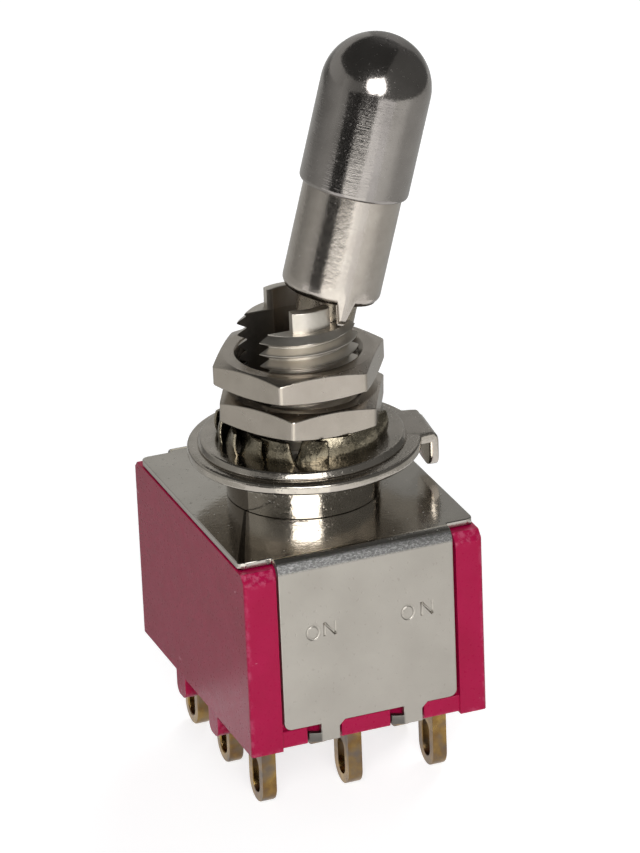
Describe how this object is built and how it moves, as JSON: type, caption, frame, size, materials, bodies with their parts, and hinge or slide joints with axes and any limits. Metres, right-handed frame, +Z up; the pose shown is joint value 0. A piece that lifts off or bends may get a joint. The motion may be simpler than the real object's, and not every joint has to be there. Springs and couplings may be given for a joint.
{
  "type": "locking toggle switch",
  "caption": "Miniature toggle switch with a pull-to-unlock lever, threaded bushing with nuts and washers, steel frame, moulded case and solder lugs.",
  "frame": {"origin": "on the bushing's axis, at the top face of the steel frame", "axes": "+Z up along the bushing towards the lever, +X the way the lever leans at rest, +Y towards the rear of the case"},
  "size_m": [0.0139, 0.0164, 0.0383],
  "materials": {
    "case_plastic": "satin",
    "frame_steel": "satin",
    "nickel_plate": "bright plated",
    "washer_plate": "bright plated",
    "nut_plate": "bright plated",
    "cap_plate": "polished",
    "stem_plate": "turned",
    "lug_plate": "tarnished",
    "contact_plate": "satin",
    "spring_steel": "bright",
    "seal_resin": "cast",
    "holder_plastic": "moulded"
  },
  "bodies": {
    "base": {"case": "case_plastic", "frame": "frame_steel", "bushing": "nickel_plate", "locking_ring": "washer_plate", "lock_washer": "washer_plate", "lower_hex_nut": "nut_plate", "upper_hex_nut": "nut_plate", "terminal_seal": "seal_resin", "terminal_front_left": "lug_plate", "terminal_front_centre": "lug_plate", "terminal_front_right": "lug_plate", "terminal_middle_left": "lug_plate", "terminal_middle_centre": "lug_plate", "terminal_middle_right": "lug_plate", "terminal_rear_left": "lug_plate", "terminal_rear_centre": "lug_plate", "terminal_rear_right": "lug_plate"},
    "lever": {"lever": "stem_plate", "pivot_pin": "stem_plate", "plunger_holder": "holder_plastic", "stem_washer": "washer_plate", "plunger_spring_front": "spring_steel", "plunger_spring_middle": "spring_steel", "plunger_spring_rear": "spring_steel"},
    "sleeve": {"locking_sleeve": "cap_plate", "sleeve_cap": "cap_plate", "sleeve_spring": "spring_steel"},
    "plunger_front": {"plunger_front": "contact_plate"},
    "rocker_front": {"rocker_contact_front": "contact_plate"},
    "plunger_middle": {"plunger_middle": "contact_plate"},
    "rocker_middle": {"rocker_contact_middle": "contact_plate"},
    "plunger_rear": {"plunger_rear": "contact_plate"},
    "rocker_rear": {"rocker_contact_rear": "contact_plate"}
  },
  "joints": [
    {"name": "lever_tilt", "type": "hinge", "parent": "base", "child": "lever", "pos_m": [0, 0, 0.00386], "axis": [0, 1, 0], "range_deg": [-30.8, 0]},
    {"name": "sleeve_lift", "type": "slide", "parent": "lever", "child": "sleeve", "axis": [0.2656, 0, 0.9641], "range_m": [0, 0.002], "stiffness_N_per_m": 900, "springref_m": -0.002, "deforming": ["sleeve_spring"]},
    {"name": "plunger_slide_front", "type": "slide", "parent": "lever", "child": "plunger_front", "axis": [0.2656, 0, 0.9641], "range_m": [0, 0.0003], "stiffness_N_per_m": 600, "springref_m": -0.0005, "deforming": ["plunger_spring_front"]},
    {"name": "rocker_tilt_front", "type": "hinge", "parent": "base", "child": "rocker_front", "pos_m": [0, -0.00483, -0.00597], "axis": [0, 1, 0], "range_deg": [0, 16]},
    {"name": "plunger_slide_middle", "type": "slide", "parent": "lever", "child": "plunger_middle", "axis": [0.2656, 0, 0.9641], "range_m": [0, 0.0003], "stiffness_N_per_m": 600, "springref_m": -0.0005, "deforming": ["plunger_spring_middle"]},
    {"name": "rocker_tilt_middle", "type": "hinge", "parent": "base", "child": "rocker_middle", "pos_m": [0, 0, -0.00597], "axis": [0, 1, 0], "range_deg": [0, 16]},
    {"name": "plunger_slide_rear", "type": "slide", "parent": "lever", "child": "plunger_rear", "axis": [0.2656, 0, 0.9641], "range_m": [0, 0.0003], "stiffness_N_per_m": 600, "springref_m": -0.0005, "deforming": ["plunger_spring_rear"]},
    {"name": "rocker_tilt_rear", "type": "hinge", "parent": "base", "child": "rocker_rear", "pos_m": [0, 0.00483, -0.00597], "axis": [0, 1, 0], "range_deg": [0, 16]}
  ],
  "couplings": [
    {"joint": "rocker_tilt_front", "follows": "lever_tilt", "ratio": -0.51948},
    {"joint": "rocker_tilt_middle", "follows": "lever_tilt", "ratio": -0.51948},
    {"joint": "rocker_tilt_rear", "follows": "lever_tilt", "ratio": -0.51948}
  ]
}
